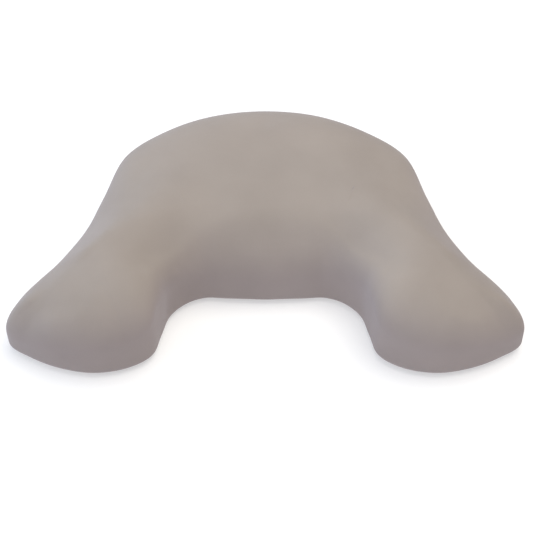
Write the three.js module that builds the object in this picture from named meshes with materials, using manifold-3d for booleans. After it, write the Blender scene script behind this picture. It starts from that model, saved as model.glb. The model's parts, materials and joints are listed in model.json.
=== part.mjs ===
// Neck traction pillow: a contoured foam core in a seamless knit cover that zips along the back.
// Millimetres, +Z up. The origin is on the table under the middle of the pillow.
// The user's shoulders come in from -Y, the neck lies on the ridge and the head rests on the bed behind it, at +Y.
import * as THREE from 'three';
import { LoftGeometry } from 'three/addons/geometries/LoftGeometry.js';
import { mergeVertices } from 'three/addons/utils/BufferGeometryUtils.js';
import Module from 'manifold-3d';

const wasm = await Module();
wasm.setup();

// ---------- driving dimensions ----------

// Back edge of the plan: an arc about a centre on the mid-plane.
const DOME_RADIUS = 132.5;
const DOME_CENTRE_Y = -37.5;

// Layers, as depths under the outside of the cover.
const COVER_THICKNESS = 1.6;
const LINER_DEPTH = 1.9;
const LINER_THICKNESS = 0.8;
const CORE_DEPTH = 3.1;
const CORE_SPLIT_Z = 26;
const GLUE_LINE = 0.3;

// Underside: the cover turns under and stops at a seam, and the base panel fills the middle.
const COVER_LIFT = 0.3;
const BOTTOM_ROLL = 8;
const COVER_EDGE_INSET = 12.6;
const SEAM_INSET = 13.8;
const PANEL_EDGE_INSET = 15;
const PANEL_THICKNESS = 1.6;
const SEAM_THREAD_RADIUS = 0.5;

// Zip: it runs level along the back wall, on the dome's arc. Angles are measured from +Y towards +X.
const ZIP_Z = 19;
const ZIP_HALF_ANGLE = 38.1;
const SLOT_HALF_ANGLE = 40.5;
const SLOT_HALF_HEIGHT = 5;
const POCKET_HALF_ANGLE = 42.5;
const POCKET_HALF_HEIGHT = 11.5;
const POCKET_DEPTH = 4.6;
const OVERCUT = 3;
const TAPE_DEPTH = 2.3;
const TAPE_THICKNESS = 0.6;
const TAPE_INNER_EDGE = 0.6;
const TAPE_OUTER_EDGE = 10;
const TEETH_OUTER_DEPTH = 0.5;
const TEETH_INNER_DEPTH = 1.9;
const TEETH_INNER_EDGE = 0.5;
const TEETH_OUTER_EDGE = 2.8;
const STOP_START_ANGLE = 38.3;
const STOP_END_ANGLE = 39.1;
const TAB_START_ANGLE = 39.4;
const TAB_END_ANGLE = 40.3;
const TAB_HALF_HEIGHT = 4.6;
const TAB_OUTER_DEPTH = 0.3;

// Slider and pull, in the slider's own frame: x along the zip, y outwards from the cover's surface, z up.
const SLIDER_REST_ANGLE = 36;
const SLIDER_LENGTH = 9;
const SLIDER_HALF_WIDTH = 4.2;
const SLIDER_FLANGE_INNER = 3.1;
const SLIDER_TOP = 1.2;
const SLIDER_UNDER_TOP = -0.2;
const SLIDER_FLANGE_DEPTH = -1.7;
const SLIDER_REAR_OUTER = -3.2;
const SLIDER_REAR_INNER = -3.9;
const SLIDER_WEB_THICKNESS = 0.4;
const SLIDER_WAIST_HALF_WIDTH = 3.3;
const SLIDER_WAIST_CORNER = 1;
const SLIDER_HEAD_CORNER = 2;
const SLIDER_FLANGE_OUTER = 3.4;
const SLIDER_FLANGE_HALF_LENGTH = 3.9;
const SLIDER_OVERLAP = 0.1;
const BRIDGE_LENGTH = 6;
const BRIDGE_HEIGHT = 2.4;
const BRIDGE_BAR = 0.9;
const BRIDGE_POST = 1.2;
const BRIDGE_WIDTH = 1.6;
const BRIDGE_CORNER = 1;
const BRIDGE_FOOT = 0.2;
const PULL_PIVOT_HEIGHT = 0.75;
const PULL_THICKNESS = 0.9;
const PULL_LENGTH = 24;
const PULL_EYE_LENGTH = 3.1;
const PULL_EYE_HALF_WIDTH = 1.2;
const PULL_ARM_WIDTH = 0.9;
const PULL_TIP_HALF_WIDTH = 3.2;
const PULL_NECK_START = 3;
const PULL_NECK_END = 5;

// Blank care label, sewn into the seam at the back.
const LABEL_ANGLE = -26;
const LABEL_HALF_WIDTH = 10;
const LABEL_THICKNESS = 0.25;
const LABEL_OUTER_RADIUS = DOME_RADIUS + 9;
const LABEL_INNER_RADIUS = DOME_RADIUS - SEAM_INSET + 2;

// ---------- the body's form ----------

// A point of the dome's arc, with its wall, roll and top heights.
function domeEdge(degrees, wall, roll, top) {
  const angle = THREE.MathUtils.degToRad(degrees);
  return [DOME_RADIUS * Math.sin(angle), DOME_CENTRE_Y + DOME_RADIUS * Math.cos(angle), wall, roll, top];
}

// Sections of the right half, from the wing's tip to the mid-plane.
// front and back: x and y of the plan's edge, height of the upright wall, length of the roll-over above it,
// and the height that the top would have at that edge without the roll-over. ridge: x, y and z of the crest.
const SECTIONS = [
  { front: [149, -82.5, 18, 40, 47], ridge: [124, -61.5, 54], back: [149, -82.5, 18, 40, 47] },
  { front: [130, -91, 25, 44, 54.5], ridge: [122, -59.5, 55], back: [161.5, -73, 18, 38, 46.5] },
  { front: [107, -95, 28, 42, 60], ridge: [118, -55.5, 57], back: [157, -59, 19, 38, 47.5] },
  { front: [85, -91, 30, 40, 62], ridge: [111, -47.5, 60], back: [149.5, -48, 19, 37, 47.5] },
  { front: [70.5, -81.5, 36, 28, 60.5], ridge: [103, -39.5, 62.5], back: [139.5, -37.5, 21, 35, 49.5] },
  { front: [65.5, -66.5, 41, 13, 56], ridge: [95, -31.5, 64], back: [129, -24, 24, 33, 51] },
  { front: [60.5, -51.5, 35, 10, 51.5], ridge: [85, -22.5, 64.5], back: [116.5, -5, 29, 30, 52.5] },
  { front: [50, -41, 27, 10, 48], ridge: [71, -13.5, 64], back: [106.5, 20, 33, 28, 52] },
  { front: [38, -36.5, 21, 16, 48], ridge: [54, -6.5, 62.5], back: domeEdge(45, 34, 28, 52.5) },
  { front: [25, -37, 19, 24, 50], ridge: [36, -3, 61.5], back: domeEdge(30, 34, 28, 56) },
  { front: [12.5, -37.5, 18, 30, 52.5], ridge: [18, -1.5, 61.5], back: domeEdge(15, 34, 28, 57) },
  { front: [0, -38, 18, 33, 53.5], ridge: [0, -1, 61.5], back: domeEdge(0, 34, 28, 56.5) },
];
const STEPS_PER_SECTION = 2;
const ROLL_STEPS = 5;
const ROLL_EXPONENT = 2.1;
const BOTTOM_ROLL_STEPS = 2;
const ROLL_TOP_SHARE = 0.97;

const mirrored = (point) => [-point[0], ...point.slice(1)];

// The right half's points followed by the left half's, tip to tip.
function tipToTip(side) {
  const right = SECTIONS.map((section) => section[side]);
  const left = right.slice(0, -1).reverse().map(mirrored);
  return [...right, ...left];
}

// Closed curves round the plan's edge: the front from the right tip to the left tip, and back along the rear.
const front = tipToTip('front');
const back = tipToTip('back').slice(1, -1).reverse();
const edgeRows = [...front, ...back];
const edgeCurve = new THREE.CatmullRomCurve3(
  edgeRows.map(([x, y]) => new THREE.Vector3(x, y, 0)), true, 'centripetal');
const heightCurve = new THREE.CatmullRomCurve3(
  edgeRows.map(([, , wall, roll, top]) => new THREE.Vector3(wall, roll, top)), true, 'centripetal');
const ridgeCurve = new THREE.CatmullRomCurve3(
  tipToTip('ridge').map((point) => new THREE.Vector3(...point)), false, 'centripetal');
const SPANS = front.length - 1;

// The plan's edge, and its wall, roll and top heights, at a place counted in sections from the right tip.
function edgeAt(place, isBack) {
  const t = isBack ? 1 - place / edgeRows.length : place / edgeRows.length;
  const wrapped = t % 1;
  const { x: wall, y: roll, z: top } = heightCurve.getPoint(wrapped);
  return { point: edgeCurve.getPoint(wrapped), wall, roll, top };
}

// Height of the top at a distance in from the edge.
function topHeight(distance, reach, edge, ridgeHeight) {
  const roll = Math.min(edge.roll, reach);
  const short = Math.max(0, 1 - distance / roll);
  const rise = Math.pow(1 - Math.pow(short, ROLL_EXPONENT), 1 / ROLL_EXPONENT);
  const bed = THREE.MathUtils.lerp(edge.top, ridgeHeight, THREE.MathUtils.smoothstep(distance, 0, reach));
  return edge.wall + (bed - edge.wall) * rise;
}

// Half a section, from beside the crest, over the roll-over and down the wall to the underside.
function halfSection(edge, ridge) {
  const inward = new THREE.Vector3(ridge.x - edge.point.x, ridge.y - edge.point.y, 0);
  const reach = inward.length();
  inward.normalize();
  const at = (distance, z) => edge.point.clone().addScaledVector(inward, distance).setZ(z);
  const roll = Math.min(edge.roll, reach);
  const points = [at((roll + reach) / 2, topHeight((roll + reach) / 2, reach, edge, ridge.z))];
  for (let k = ROLL_STEPS; k >= 0; k--) {
    const distance = roll * ROLL_TOP_SHARE * (1 - Math.cos((k / ROLL_STEPS) * (Math.PI / 2)));
    points.push(at(distance, topHeight(distance, reach, edge, ridge.z)));
  }
  for (let k = BOTTOM_ROLL_STEPS; k >= 0; k--) {
    const angle = (k / BOTTOM_ROLL_STEPS) * (Math.PI / 2);
    points.push(at(BOTTOM_ROLL * (1 - Math.sin(angle)), COVER_LIFT + BOTTOM_ROLL * (1 - Math.cos(angle))));
  }
  return points;
}

// One closed section of the body.
function bodySection(place) {
  const ridge = ridgeCurve.getPoint(place / SPANS);
  const under = ridge.clone().setZ(COVER_LIFT);
  const frontHalf = halfSection(edgeAt(place, false), ridge);
  const backHalf = halfSection(edgeAt(place, true), ridge);
  return [ridge, ...backHalf, under, ...frontHalf.reverse()];
}

function places() {
  return Array.from({ length: SPANS * STEPS_PER_SECTION + 1 }, (_, i) => i / STEPS_PER_SECTION);
}

// ---------- solids ----------

const WELD_DISTANCE = 0.001;
const SLOT_STEPS = 18;
const ZIP_STEPS = 32;
const LABEL_STEPS = 4;

// A geometry reduced to shared positions, as a closed mesh needs.
function welded(geometry) {
  const plain = new THREE.BufferGeometry().copy(geometry);
  plain.deleteAttribute('normal');
  plain.deleteAttribute('uv');
  return mergeVertices(plain, WELD_DISTANCE);
}

function toSolid(geometry) {
  const closed = welded(geometry);
  return new wasm.Manifold(new wasm.Mesh({
    numProp: 3,
    vertProperties: new Float32Array(closed.attributes.position.array),
    triVerts: new Uint32Array(closed.index.array),
  }));
}

function toGeometry(solid) {
  const mesh = solid.getMesh();
  const geometry = new THREE.BufferGeometry();
  geometry.setAttribute('position', new THREE.Float32BufferAttribute(mesh.vertProperties, mesh.numProp));
  geometry.setIndex(new THREE.BufferAttribute(mesh.triVerts, 1));
  geometry.computeVertexNormals();
  return geometry;
}

// The body with its whole skin moved in by a depth.
const skin = welded(new LoftGeometry(places().map(bodySection)));
skin.computeVertexNormals();
function body(depth) {
  const inner = skin.clone();
  const { position, normal } = inner.attributes;
  for (let i = 0; i < position.count; i++) {
    const point = new THREE.Vector3().fromBufferAttribute(position, i);
    const outward = new THREE.Vector3().fromBufferAttribute(normal, i);
    position.setXYZ(i, ...point.addScaledVector(outward, -depth));
  }
  return toSolid(inner);
}

// Loop round the underside, inside the plan's edge.
function undersideLoop(inset) {
  const alongEdge = (isBack) => places().map((place) => {
    const { point } = edgeAt(place, isBack);
    const ridge = ridgeCurve.getPoint(place / SPANS).setZ(0);
    return point.clone().addScaledVector(ridge.sub(point).normalize(), inset);
  });
  return [...alongEdge(false), ...alongEdge(true).slice(1, -1).reverse()];
}

// A flat plate with the underside loop as its outline.
function undersidePlate(inset, lowZ, highZ) {
  const outline = new THREE.Shape(undersideLoop(inset).map(({ x, y }) => new THREE.Vector2(x, y)));
  const plate = new THREE.ExtrudeGeometry(outline, { depth: highZ - lowZ, bevelEnabled: false });
  return plate.translate(0, 0, lowZ);
}

// A point on the dome's arc: radius about the dome's centre, angle from +Y towards +X, height.
function onDome(radius, degrees, z) {
  const angle = THREE.MathUtils.degToRad(degrees);
  return new THREE.Vector3(radius * Math.sin(angle), DOME_CENTRE_Y + radius * Math.cos(angle), z);
}

// A profile of depths under the cover and heights, swept along the dome's arc.
function arcSweep(profile, fromAngle, toAngle, steps) {
  const sections = Array.from({ length: steps + 1 }, (_, i) => {
    const angle = THREE.MathUtils.lerp(fromAngle, toAngle, i / steps);
    return profile.map(([depth, z]) => onDome(DOME_RADIUS - depth, angle, z));
  });
  return new LoftGeometry(sections, { capStart: true, capEnd: true });
}

// A rectangular profile between two depths and two heights, ordered for arcSweep.
const band = (outer, inner, low, high) => [[outer, low], [outer, high], [inner, high], [inner, low]];

// ---------- materials ----------

const material = (color, roughness, metalness = 0) =>
  new THREE.MeshStandardMaterial({ color, roughness, metalness });
const coverKnit = material(0xaca298, 0.95);
const baseFabric = material(0x8a827b, 0.95);
const linerCloth = material(0xe9e6e0, 0.95);
const softFoam = material(0xf1ead9, 0.9);
const firmFoam = material(0xd7dde2, 0.9);
const zipTape = material(0x9d948c, 0.85);
const zipTeeth = material(0x958c85, 0.45);
const zipMetal = material(0x9a9691, 0.35, 1);
const seamThread = material(0xa1978e, 0.8);
const labelSatin = material(0xf4f2ee, 0.6);

const pillow = new THREE.Group();
function add(name, geometry, surface, parent = pillow) {
  const mesh = new THREE.Mesh(geometry, surface);
  mesh.name = name;
  parent.add(mesh);
  return mesh;
}

// ---------- cover, liner and core ----------

const slot = toSolid(arcSweep(
  band(-OVERCUT, POCKET_DEPTH, ZIP_Z - SLOT_HALF_HEIGHT, ZIP_Z + SLOT_HALF_HEIGHT),
  -SLOT_HALF_ANGLE, SLOT_HALF_ANGLE, SLOT_STEPS));
const zipPocket = toSolid(arcSweep(
  band(-OVERCUT, POCKET_DEPTH, ZIP_Z - POCKET_HALF_HEIGHT, ZIP_Z + POCKET_HALF_HEIGHT),
  -POCKET_HALF_ANGLE, POCKET_HALF_ANGLE, SLOT_STEPS));

const underOpening = toSolid(undersidePlate(COVER_EDGE_INSET, -OVERCUT, BOTTOM_ROLL / 2));
const cover = body(0).subtract(body(COVER_THICKNESS)).subtract(slot).subtract(underOpening);
add('cover_shell', toGeometry(cover), coverKnit);

add('base_panel', undersidePlate(PANEL_EDGE_INSET, 0, PANEL_THICKNESS), baseFabric);

// Overlock thread in the gap between the cover's turned-under edge and the base panel.
function seamRing(point, index, loop) {
  const next = loop[(index + 1) % loop.length];
  const previous = loop[(index + loop.length - 1) % loop.length];
  const along = next.clone().sub(previous).normalize();
  const across = new THREE.Vector3(-along.y, along.x, 0);
  const sides = 6;
  return Array.from({ length: sides }, (_, k) => {
    const angle = (k / sides) * 2 * Math.PI;
    return point.clone()
      .addScaledVector(across, SEAM_THREAD_RADIUS * Math.cos(angle))
      .setZ(COVER_LIFT + SEAM_THREAD_RADIUS * (1 + Math.sin(angle)));
  });
}
const seamRings = undersideLoop(SEAM_INSET).map(seamRing);
add('base_seam_thread', new LoftGeometry([...seamRings, seamRings[0]]), seamThread);

// The liner's slit lies behind the zip.
const liner = body(LINER_DEPTH).subtract(body(LINER_DEPTH + LINER_THICKNESS)).subtract(zipPocket);
add('inner_liner', toGeometry(liner), linerCloth);

// Firm foam below and slow-recovery foam above, bonded on a flat glue line.
const core = body(CORE_DEPTH).subtract(zipPocket);
const WIDE = 400;
const lowerHalf = new THREE.BoxGeometry(WIDE, WIDE, WIDE).translate(0, 0, CORE_SPLIT_Z - WIDE / 2);
const upperHalf = new THREE.BoxGeometry(WIDE, WIDE, WIDE).translate(0, 0, CORE_SPLIT_Z + GLUE_LINE + WIDE / 2);
add('core_firm_base', toGeometry(core.intersect(toSolid(lowerHalf))), firmFoam);
add('core_soft_top', toGeometry(core.intersect(toSolid(upperHalf))), softFoam);

// ---------- zip ----------

for (const [side, sign] of [['upper', 1], ['lower', -1]]) {
  const between = (outer, inner, near, far) => {
    const edges = [ZIP_Z + sign * near, ZIP_Z + sign * far];
    return band(outer, inner, Math.min(...edges), Math.max(...edges));
  };
  add(`zip_tape_${side}`, arcSweep(
    between(TAPE_DEPTH, TAPE_DEPTH + TAPE_THICKNESS, TAPE_INNER_EDGE, TAPE_OUTER_EDGE),
    -SLOT_HALF_ANGLE, SLOT_HALF_ANGLE, ZIP_STEPS), zipTape);
  const teethProfile = between(TEETH_OUTER_DEPTH, TEETH_INNER_DEPTH, TEETH_INNER_EDGE, TEETH_OUTER_EDGE);
  add(`zip_teeth_${side}`, arcSweep(teethProfile, -ZIP_HALF_ANGLE, ZIP_HALF_ANGLE, ZIP_STEPS), zipTeeth);
  add(`zip_top_stop_${side}`, arcSweep(teethProfile, STOP_START_ANGLE, STOP_END_ANGLE, 1), zipMetal);
}
add('zip_bottom_stop', arcSweep(
  band(TEETH_OUTER_DEPTH, TEETH_INNER_DEPTH, ZIP_Z - TEETH_OUTER_EDGE, ZIP_Z + TEETH_OUTER_EDGE),
  -STOP_END_ANGLE, -STOP_START_ANGLE, 1), zipMetal);

// A folded fabric tab is sewn across each end of the zip.
for (const [side, sign] of [['left', -1], ['right', 1]]) {
  const ends = [sign * TAB_START_ANGLE, sign * TAB_END_ANGLE];
  const tabProfile = band(TAB_OUTER_DEPTH, TEETH_INNER_DEPTH, ZIP_Z - TAB_HALF_HEIGHT, ZIP_Z + TAB_HALF_HEIGHT);
  add(`zip_end_tab_${side}`, arcSweep(tabProfile, Math.min(...ends), Math.max(...ends), 2), coverKnit);
}

// The slider's frame: its origin is on the cover's surface at the slider's place, y points outwards.
const sliderFrame = new THREE.Group();
sliderFrame.position.copy(onDome(DOME_RADIUS, SLIDER_REST_ANGLE, ZIP_Z));
sliderFrame.rotation.z = -THREE.MathUtils.degToRad(SLIDER_REST_ANGLE);
pillow.add(sliderFrame);

function block(halfLength, lowY, highY, lowZ, highZ) {
  const box = new THREE.BoxGeometry(2 * halfLength, highY - lowY, highZ - lowZ);
  return box.translate(0, (lowY + highY) / 2, (lowZ + highZ) / 2);
}

// A plate of the slider: narrower at the end that meets the closed teeth, with rounded corners.
function sliderPlate(lowY, highY) {
  const half = SLIDER_LENGTH / 2;
  const waist = SLIDER_WAIST_HALF_WIDTH;
  const wide = SLIDER_HALF_WIDTH;
  const outline = new THREE.Shape();
  outline.moveTo(-half + SLIDER_WAIST_CORNER, -waist);
  outline.quadraticCurveTo(-half, -waist, -half, -waist + SLIDER_WAIST_CORNER);
  outline.lineTo(-half, waist - SLIDER_WAIST_CORNER);
  outline.quadraticCurveTo(-half, waist, -half + SLIDER_WAIST_CORNER, waist);
  outline.lineTo(half - SLIDER_HEAD_CORNER, wide);
  outline.quadraticCurveTo(half, wide, half, wide - SLIDER_HEAD_CORNER);
  outline.lineTo(half, -wide + SLIDER_HEAD_CORNER);
  outline.quadraticCurveTo(half, -wide, half - SLIDER_HEAD_CORNER, -wide);
  const plate = new THREE.ExtrudeGeometry(outline, { depth: highY - lowY, bevelEnabled: false, curveSegments: 4 });
  return plate.rotateX(Math.PI / 2).translate(0, highY, 0);
}

function bridge() {
  const outline = new THREE.Shape();
  const half = BRIDGE_LENGTH / 2;
  const inner = half - BRIDGE_POST;
  outline.moveTo(-half, -BRIDGE_FOOT);
  outline.lineTo(-half, BRIDGE_HEIGHT - BRIDGE_CORNER);
  outline.quadraticCurveTo(-half, BRIDGE_HEIGHT, -half + BRIDGE_CORNER, BRIDGE_HEIGHT);
  outline.lineTo(half - BRIDGE_CORNER, BRIDGE_HEIGHT);
  outline.quadraticCurveTo(half, BRIDGE_HEIGHT, half, BRIDGE_HEIGHT - BRIDGE_CORNER);
  outline.lineTo(half, -BRIDGE_FOOT);
  outline.lineTo(inner, -BRIDGE_FOOT);
  outline.lineTo(inner, BRIDGE_HEIGHT - BRIDGE_BAR);
  outline.lineTo(-inner, BRIDGE_HEIGHT - BRIDGE_BAR);
  outline.lineTo(-inner, -BRIDGE_FOOT);
  const arch = new THREE.ExtrudeGeometry(outline, { depth: BRIDGE_WIDTH, bevelEnabled: false, curveSegments: 4 });
  return arch.translate(0, SLIDER_TOP, -BRIDGE_WIDTH / 2);
}

const flange = (lowZ, highZ) => toSolid(block(SLIDER_FLANGE_HALF_LENGTH, SLIDER_FLANGE_DEPTH, 0, lowZ, highZ));
const web = block(SLIDER_FLANGE_HALF_LENGTH, SLIDER_REAR_OUTER - SLIDER_OVERLAP, 0,
  -SLIDER_WEB_THICKNESS / 2, SLIDER_WEB_THICKNESS / 2);
const slider = toSolid(sliderPlate(SLIDER_UNDER_TOP, SLIDER_TOP))
  .add(flange(SLIDER_FLANGE_INNER, SLIDER_FLANGE_OUTER))
  .add(flange(-SLIDER_FLANGE_OUTER, -SLIDER_FLANGE_INNER))
  .add(toSolid(sliderPlate(SLIDER_REAR_INNER, SLIDER_REAR_OUTER)))
  .add(toSolid(web))
  .add(toSolid(bridge()));
add('zip_slider', toGeometry(slider), zipMetal, sliderFrame);

// The pull lies along the closed teeth, its cross-bar under the bridge.
function pullPlate() {
  const bar = PULL_THICKNESS / 2;
  const eyeHalf = PULL_EYE_HALF_WIDTH + PULL_ARM_WIDTH;
  const neckEnd = -PULL_EYE_LENGTH - PULL_NECK_END;
  const tipCentre = -PULL_LENGTH + PULL_TIP_HALF_WIDTH;
  const outline = new THREE.Shape();
  outline.moveTo(bar, -eyeHalf);
  outline.lineTo(bar, eyeHalf);
  outline.lineTo(-PULL_EYE_LENGTH - bar, eyeHalf);
  outline.quadraticCurveTo(-PULL_EYE_LENGTH - PULL_NECK_START, eyeHalf, neckEnd, PULL_TIP_HALF_WIDTH);
  outline.lineTo(tipCentre, PULL_TIP_HALF_WIDTH);
  outline.absarc(tipCentre, 0, PULL_TIP_HALF_WIDTH, Math.PI / 2, 1.5 * Math.PI, false);
  outline.lineTo(neckEnd, -PULL_TIP_HALF_WIDTH);
  outline.quadraticCurveTo(-PULL_EYE_LENGTH - PULL_NECK_START, -eyeHalf, -PULL_EYE_LENGTH - bar, -eyeHalf);
  const eye = new THREE.Path();
  eye.moveTo(-bar, -PULL_EYE_HALF_WIDTH);
  eye.lineTo(-bar - PULL_EYE_LENGTH, -PULL_EYE_HALF_WIDTH);
  eye.lineTo(-bar - PULL_EYE_LENGTH, PULL_EYE_HALF_WIDTH);
  eye.lineTo(-bar, PULL_EYE_HALF_WIDTH);
  outline.holes.push(eye);
  const plate = new THREE.ExtrudeGeometry(
    outline, { depth: PULL_THICKNESS, bevelEnabled: false, curveSegments: 8 });
  return plate.rotateX(Math.PI / 2).translate(0, PULL_THICKNESS / 2, 0);
}
const pull = add('zip_pull', pullPlate(), zipMetal, sliderFrame);
pull.position.set(0, SLIDER_TOP + PULL_PIVOT_HEIGHT, 0);

// ---------- care label ----------

const labelHalfAngle = THREE.MathUtils.radToDeg(LABEL_HALF_WIDTH / DOME_RADIUS);
add('care_label', arcSweep(
  band(DOME_RADIUS - LABEL_OUTER_RADIUS, DOME_RADIUS - LABEL_INNER_RADIUS,
    0, LABEL_THICKNESS),
  LABEL_ANGLE - labelHalfAngle, LABEL_ANGLE + labelHalfAngle, LABEL_STEPS), labelSatin);

export default pillow;
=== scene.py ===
"""Looks of the neck traction pillow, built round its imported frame. Metres, +Z up, the shoulders at -Y."""

import json
import math

import bmesh
import bpy
import numpy as np
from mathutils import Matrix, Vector, noise
from mathutils.bvhtree import BVHTree
from mathutils.kdtree import KDTree


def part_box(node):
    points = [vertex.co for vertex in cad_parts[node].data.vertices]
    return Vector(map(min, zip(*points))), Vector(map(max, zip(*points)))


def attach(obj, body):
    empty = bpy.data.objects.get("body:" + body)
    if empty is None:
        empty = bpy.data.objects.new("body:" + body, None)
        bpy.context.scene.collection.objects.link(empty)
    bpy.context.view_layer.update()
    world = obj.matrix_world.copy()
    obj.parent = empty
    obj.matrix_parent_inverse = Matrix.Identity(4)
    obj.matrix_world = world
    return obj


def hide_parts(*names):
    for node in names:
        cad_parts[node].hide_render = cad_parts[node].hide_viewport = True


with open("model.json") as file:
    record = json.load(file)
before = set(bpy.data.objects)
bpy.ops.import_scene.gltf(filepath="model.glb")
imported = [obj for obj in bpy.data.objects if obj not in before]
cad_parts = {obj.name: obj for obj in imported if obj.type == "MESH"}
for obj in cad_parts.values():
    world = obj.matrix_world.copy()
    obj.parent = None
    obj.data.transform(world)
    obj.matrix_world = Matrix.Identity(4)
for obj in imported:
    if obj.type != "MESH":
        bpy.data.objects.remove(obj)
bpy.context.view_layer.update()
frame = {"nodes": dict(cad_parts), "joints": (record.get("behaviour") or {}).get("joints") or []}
PILLOW, SLIDER, PULL = "pillow", "slider", "pull"
MM = 0.001

# ---------- places taken from the frame ----------

JOINTS = {j["name"]: j for j in frame["joints"]}
DOME_CENTRE = Vector(JOINTS["zip_slider_travel"]["pos_m"])
DOME_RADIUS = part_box("cover_shell")[1].y - DOME_CENTRE.y
ZIP_Z = DOME_CENTRE.z
BASE_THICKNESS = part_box("base_panel")[1].z
CORE_SPLIT_Z = (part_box("core_firm_base")[1].z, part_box("core_soft_top")[0].z)


def dome_angle(x, y):
    """Angle round the dome, from +Y towards +X, in radians."""
    return math.atan2(x - DOME_CENTRE.x, y - DOME_CENTRE.y)


def end_angle(node):
    """Angle of the far end, at +X, of a node that follows the dome."""
    low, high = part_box(node)
    return dome_angle(high.x, low.y)


CHAIN_ANGLE = end_angle("zip_teeth_upper")
TAPE_ANGLE = end_angle("zip_tape_upper")
TAPE_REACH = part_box("zip_tape_upper")[1].z - ZIP_Z
TEETH_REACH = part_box("zip_teeth_upper")[1].z - ZIP_Z

# ---------- driving sizes of the looks ----------

COVER_LIFT = 0.3 * MM
BOTTOM_ROLL = 8 * MM
COVER_EDGE_INSET = 12.6 * MM
COVER_INSIDE_Z = 1.9 * MM
PANEL_EDGE_INSET = 15 * MM
SEAM_INSET = 13.8 * MM
LINER_DEPTH = 1.9 * MM
CORE_DEPTH = 3.1 * MM
ROLL_EXPONENT = 2.1
TURNED_EDGE = 0.4 * MM
DOME_WALL = 34 * MM

SLOT_HALF_HEIGHT = 5 * MM
SLOT_CORNER = 2.2 * MM
SLOT_DEPTH = 3.4 * MM
SLOT_LIP = 0.9 * MM
POCKET_HALF_HEIGHT = 11.5 * MM
POCKET_DEPTH = 4.6 * MM
POCKET_EXTRA_ANGLE = math.radians(2)
POCKET_SLOPE, POCKET_LIP = 1.5 * MM, 0.5 * MM
BACK_WALL_ANGLE = math.radians(50)
BACK_WALL_DEPTH, BACK_WALL_TOP = 12 * MM, 40 * MM
TOPSTITCH_OFFSET = 2.4 * MM
STITCH_PITCH = 3.2 * MM

# The wing tips' smoothing: size of the average, radii where it is whole and where it ends, lowest height.
SOFTEN_GRAIN, SOFTEN_FULL, SOFTEN_NONE, SOFTEN_Z = 6 * MM, 10 * MM, 26 * MM, 30 * MM

# The cover's cloth trial: grain, frames, forces, limits of the movement, and where it is held or free.
TRIAL_VOXEL = 5 * MM
TRIAL_FRAMES = 20
TRIAL_PRESSURE, TRIAL_TENSION, TRIAL_BENDING = 10, 15, 2
TRIAL_LOW, TRIAL_CAP = -0.25 * MM, 3 * MM
TRIAL_SEWN_Z, TRIAL_FREE_Z = 5 * MM, 14 * MM
TRIAL_SEWN_SLOT, TRIAL_FREE_SLOT = 2 * MM, 12 * MM
TRIAL_NEIGHBOURS = 12

COLUMNS_PER_SPAN = 14
TOP_ROWS = 36
WALL_ROWS = 22
ROLL_ROWS = 8
DEGREES_PER_SPAN = 15
LIP_ROWS = np.array([-2.4, -1.5, -0.9, -0.6, -0.4, -0.2, 0, 0.2, 0.5]) * MM
SLOT_END_COLUMNS = np.array([-2.2, -1.2, -0.6, -0.2, 0.2, 0.6, 1.2, 1.8, 2.6]) * MM

# ---------- the body's form ----------


def dome_edge(degrees, wall, roll, top):
    """A point on the dome's arc, in millimetres, with its heights."""
    angle = math.radians(degrees)
    x = DOME_RADIUS / MM * math.sin(angle)
    y = DOME_CENTRE.y / MM + DOME_RADIUS / MM * math.cos(angle)
    return (x, y, wall, roll, top)


# Sections of the right half from the wing's tip to the mid-plane, in millimetres. Edges hold x and y of the
# plan's edge, height of the upright wall, length of the roll-over, and height of the top there.
# Crests hold x, y and z.
FRONT_EDGES = [
    (149, -82.5, 18, 40, 47), (130, -91, 25, 44, 54.5), (107, -95, 28, 42, 60), (85, -91, 30, 40, 62),
    (70.5, -81.5, 36, 28, 60.5), (65.5, -66.5, 41, 13, 56), (60.5, -51.5, 35, 10, 51.5),
    (50, -41, 27, 10, 48), (38, -36.5, 21, 16, 48), (25, -37, 19, 24, 50),
    (12.5, -37.5, 18, 30, 52.5), (0, -38, 18, 33, 53.5),
]
BACK_EDGES = [
    (149, -82.5, 18, 40, 47), (161.5, -73, 18, 38, 46.5), (157, -59, 19, 38, 47.5),
    (149.5, -48, 19, 37, 47.5), (139.5, -37.5, 21, 35, 49.5), (129, -24, 24, 33, 51),
    (116.5, -5, 29, 30, 52.5), (106.5, 20, 33, 28, 52),
    dome_edge(45, 34, 28, 52.5), dome_edge(30, 34, 28, 56),
    dome_edge(15, 34, 28, 57), dome_edge(0, 34, 28, 56.5),
]
CRESTS = [
    (124, -61.5, 54), (122, -59.5, 55), (118, -55.5, 57), (111, -47.5, 60), (103, -39.5, 62.5),
    (95, -31.5, 64), (85, -22.5, 64.5), (71, -13.5, 64), (54, -6.5, 62.5), (36, -3, 61.5),
    (18, -1.5, 61.5), (0, -1, 61.5),
]


def tip_to_tip(right):
    """The right half's points followed by the left half's."""
    right = np.array(right, float)
    left = right[-2::-1].copy()
    left[:, 0] *= -1
    return np.vstack([right, left])


FRONT = tip_to_tip(FRONT_EDGES)
BACK = tip_to_tip(BACK_EDGES)
SPANS = len(FRONT) - 1
OUTLINE = np.vstack([FRONT, BACK[-2:0:-1]])
CREST = tip_to_tip(CRESTS)


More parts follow.
